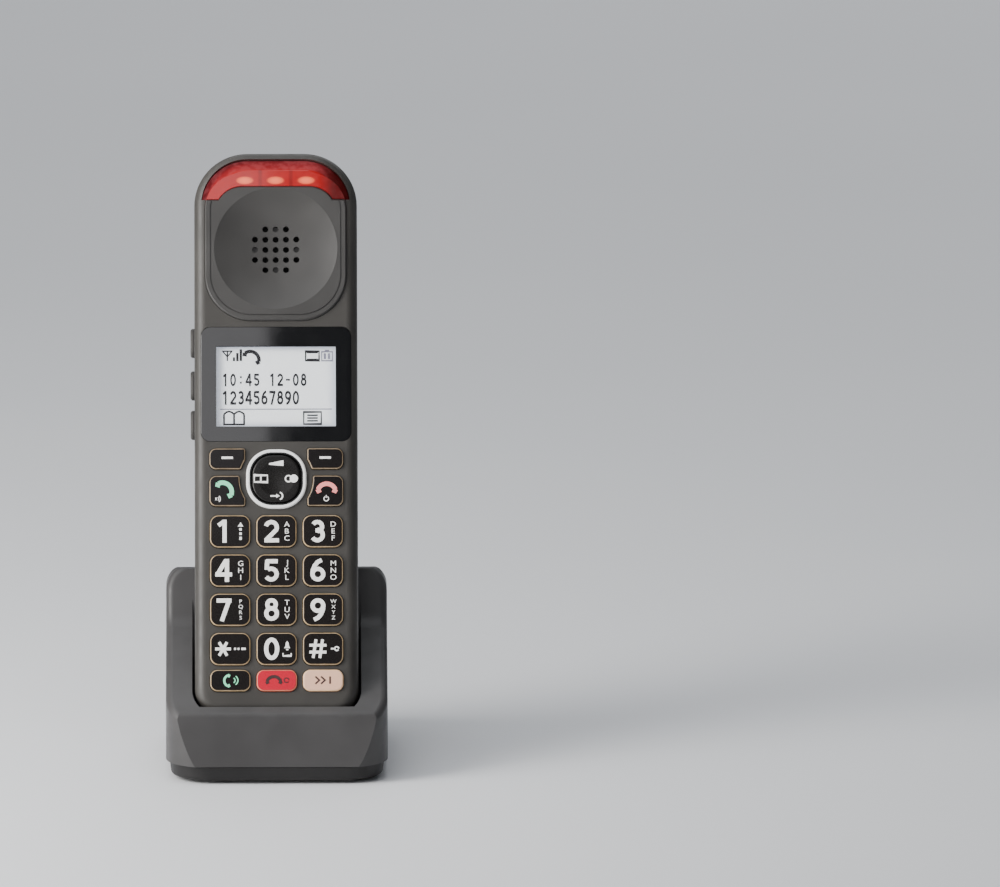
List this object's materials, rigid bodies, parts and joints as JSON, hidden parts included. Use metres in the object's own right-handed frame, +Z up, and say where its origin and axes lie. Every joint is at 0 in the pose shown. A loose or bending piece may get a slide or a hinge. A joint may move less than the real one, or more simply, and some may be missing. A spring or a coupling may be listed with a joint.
{
  "type": "cordless phone with charging cradle",
  "caption": "Slim cordless telephone handset with lit display, keypad and red ringer light, standing in a small desk charging cradle.",
  "frame": {"origin": "middle of the whole object's footprint box, on the surface its feet stand on", "axes": "+X to the right seen from the front, +Y towards the back, +Z up; the front of the phone faces -Y"},
  "size_m": [0.0706, 0.1006, 0.1888],
  "materials": {
    "handset_plastic": "fine satin, dark warm grey",
    "earpiece_plastic": "fine satin, dark grey",
    "cradle_plastic": "fine satin, dark grey",
    "base_plastic": "fine matte, nearly black",
    "red_lens": "translucent red, lit from behind",
    "white_plastic": "matte white",
    "led_body": "clear moulded light",
    "window_glass": "clear window with black border print",
    "lcd_glass": "lit pale display with dark segments",
    "key_plastic": "nearly black, white and tan printing",
    "red_key": "pink red, dark printing",
    "peach_key": "peach, dark printing",
    "silver_trim": "satin pale silver",
    "button_plastic": "satin dark grey",
    "inner_plastic": "black",
    "mat_rubber": "grey silicone",
    "dome_steel": "bright domes on clear film",
    "board_laminate": "green solder mask",
    "shield_steel": "tinned",
    "antenna_metal": "bare strip",
    "capsule_metal": "satin",
    "foam_rubber": "black foam",
    "cell_jacket": "plain green shrink jacket",
    "contact_metal": "nickel plated",
    "screw_steel": "black zinc",
    "ballast_iron": "plain",
    "foot_rubber": "matte black"
  },
  "bodies": {
    "cradle": {"cradle_top_case": "cradle_plastic", "cradle_base_cover": "base_plastic", "cradle_board": "board_laminate", "dc_inlet": "inner_plastic", "ballast_weight": "ballast_iron", "rubber_feet": "foot_rubber", "cradle_screws": "screw_steel"},
    "handset": {"antenna": "antenna_metal", "battery_cells": "cell_jacket", "battery_contacts": "contact_metal", "display_window": "window_glass", "earpiece_gasket": "foam_rubber", "earpiece_panel": "earpiece_plastic", "earpiece_receiver": "capsule_metal", "handset_charge_pads": "contact_metal", "handset_front_case": "handset_plastic", "handset_rear_case": "handset_plastic", "handset_screws": "screw_steel", "key_domes": "dome_steel", "key_mat": "mat_rubber", "lcd_backlight": "white_plastic", "lcd_module": "lcd_glass", "light_reflector": "white_plastic", "main_board": "board_laminate", "microphone": "capsule_metal", "navigator_ring": "silver_trim", "rear_loudspeaker": "capsule_metal", "ringer_leds": "led_body", "ringer_light_lens": "red_lens", "shield_can": "shield_steel"},
    "battery_cover": {"battery_cover": "handset_plastic"},
    "block_key": {"block_key": "red_key"},
    "boost_button": {"boost_button": "button_plastic"},
    "end_key": {"end_key": "key_plastic"},
    "key_0": {"key_0": "key_plastic"},
    "key_1": {"key_1": "key_plastic"},
    "key_2": {"key_2": "key_plastic"},
    "key_3": {"key_3": "key_plastic"},
    "key_4": {"key_4": "key_plastic"},
    "key_5": {"key_5": "key_plastic"},
    "key_6": {"key_6": "key_plastic"},
    "key_7": {"key_7": "key_plastic"},
    "key_8": {"key_8": "key_plastic"},
    "key_9": {"key_9": "key_plastic"},
    "key_hash": {"key_hash": "key_plastic"},
    "key_star": {"key_star": "key_plastic"},
    "mute_key": {"mute_key": "key_plastic"},
    "navigator_key": {"navigator_key": "key_plastic"},
    "navigator_pivot": {"navigator_pivot": "inner_plastic"},
    "slow_key": {"slow_key": "peach_key"},
    "soft_key_left": {"soft_key_left": "key_plastic"},
    "soft_key_right": {"soft_key_right": "key_plastic"},
    "talk_key": {"talk_key": "key_plastic"},
    "tone_button": {"tone_button": "button_plastic"},
    "volume_button": {"volume_button": "button_plastic"},
    "charge_contact_left": {"charge_contact_left": "contact_metal"},
    "charge_contact_right": {"charge_contact_right": "contact_metal"}
  },
  "joints": [
    {"name": "handset_lift", "type": "slide", "parent": "cradle", "child": "handset", "axis": [0, 0.3746, 0.9272], "range_m": [0, 0.06]},
    {"name": "key_1_press", "type": "slide", "parent": "handset", "child": "key_1", "axis": [0, 0.9272, -0.3746], "range_m": [0, 0.0005], "stiffness_N_per_m": 300},
    {"name": "key_2_press", "type": "slide", "parent": "handset", "child": "key_2", "axis": [0, 0.9272, -0.3746], "range_m": [0, 0.0005], "stiffness_N_per_m": 300},
    {"name": "key_3_press", "type": "slide", "parent": "handset", "child": "key_3", "axis": [0, 0.9272, -0.3746], "range_m": [0, 0.0005], "stiffness_N_per_m": 300},
    {"name": "key_4_press", "type": "slide", "parent": "handset", "child": "key_4", "axis": [0, 0.9272, -0.3746], "range_m": [0, 0.0005], "stiffness_N_per_m": 300},
    {"name": "key_5_press", "type": "slide", "parent": "handset", "child": "key_5", "axis": [0, 0.9272, -0.3746], "range_m": [0, 0.0005], "stiffness_N_per_m": 300},
    {"name": "key_6_press", "type": "slide", "parent": "handset", "child": "key_6", "axis": [0, 0.9272, -0.3746], "range_m": [0, 0.0005], "stiffness_N_per_m": 300},
    {"name": "key_7_press", "type": "slide", "parent": "handset", "child": "key_7", "axis": [0, 0.9272, -0.3746], "range_m": [0, 0.0005], "stiffness_N_per_m": 300},
    {"name": "key_8_press", "type": "slide", "parent": "handset", "child": "key_8", "axis": [0, 0.9272, -0.3746], "range_m": [0, 0.0005], "stiffness_N_per_m": 300},
    {"name": "key_9_press", "type": "slide", "parent": "handset", "child": "key_9", "axis": [0, 0.9272, -0.3746], "range_m": [0, 0.0005], "stiffness_N_per_m": 300},
    {"name": "key_star_press", "type": "slide", "parent": "handset", "child": "key_star", "axis": [0, 0.9272, -0.3746], "range_m": [0, 0.0005], "stiffness_N_per_m": 300},
    {"name": "key_0_press", "type": "slide", "parent": "handset", "child": "key_0", "axis": [0, 0.9272, -0.3746], "range_m": [0, 0.0005], "stiffness_N_per_m": 300},
    {"name": "key_hash_press", "type": "slide", "parent": "handset", "child": "key_hash", "axis": [0, 0.9272, -0.3746], "range_m": [0, 0.0005], "stiffness_N_per_m": 300},
    {"name": "mute_key_press", "type": "slide", "parent": "handset", "child": "mute_key", "axis": [0, 0.9272, -0.3746], "range_m": [0, 0.0005], "stiffness_N_per_m": 300},
    {"name": "block_key_press", "type": "slide", "parent": "handset", "child": "block_key", "axis": [0, 0.9272, -0.3746], "range_m": [0, 0.0005], "stiffness_N_per_m": 300},
    {"name": "slow_key_press", "type": "slide", "parent": "handset", "child": "slow_key", "axis": [0, 0.9272, -0.3746], "range_m": [0, 0.0005], "stiffness_N_per_m": 300},
    {"name": "soft_key_left_press", "type": "slide", "parent": "handset", "child": "soft_key_left", "axis": [0, 0.9272, -0.3746], "range_m": [0, 0.0005], "stiffness_N_per_m": 300},
    {"name": "soft_key_right_press", "type": "slide", "parent": "handset", "child": "soft_key_right", "axis": [0, 0.9272, -0.3746], "range_m": [0, 0.0005], "stiffness_N_per_m": 300},
    {"name": "talk_key_press", "type": "slide", "parent": "handset", "child": "talk_key", "axis": [0, 0.9272, -0.3746], "range_m": [0, 0.0005], "stiffness_N_per_m": 300},
    {"name": "end_key_press", "type": "slide", "parent": "handset", "child": "end_key", "axis": [0, 0.9272, -0.3746], "range_m": [0, 0.0005], "stiffness_N_per_m": 300},
    {"name": "navigator_rock_up_down", "type": "hinge", "parent": "handset", "child": "navigator_pivot", "pos_m": [0, -0.01034, 0.08979], "axis": [1, 0, 0], "range_deg": [-2, 2], "stiffness_Nm_per_rad": 0.03},
    {"name": "navigator_rock_left_right", "type": "hinge", "parent": "navigator_pivot", "child": "navigator_key", "pos_m": [0, -0.01034, 0.08979], "axis": [0, 0.3746, 0.9272], "range_deg": [-2, 2], "stiffness_Nm_per_rad": 0.03},
    {"name": "tone_button_press", "type": "slide", "parent": "handset", "child": "tone_button", "axis": [1, 0, 0], "range_m": [0, 0.0005], "stiffness_N_per_m": 300},
    {"name": "volume_button_press", "type": "slide", "parent": "handset", "child": "volume_button", "axis": [1, 0, 0], "range_m": [0, 0.0005], "stiffness_N_per_m": 300},
    {"name": "boost_button_press", "type": "slide", "parent": "handset", "child": "boost_button", "axis": [1, 0, 0], "range_m": [0, 0.0005], "stiffness_N_per_m": 300},
    {"name": "battery_cover_lift", "type": "slide", "parent": "handset", "child": "battery_cover", "axis": [0, 0.9272, -0.3746], "range_m": [0, 0.03]},
    {"name": "charge_contact_left_spring", "type": "slide", "parent": "cradle", "child": "charge_contact_left", "axis": [0, 0.3746, 0.9272], "range_m": [-0.0008, 0], "stiffness_N_per_m": 150},
    {"name": "charge_contact_right_spring", "type": "slide", "parent": "cradle", "child": "charge_contact_right", "axis": [0, 0.3746, 0.9272], "range_m": [-0.0008, 0], "stiffness_N_per_m": 150}
  ]
}
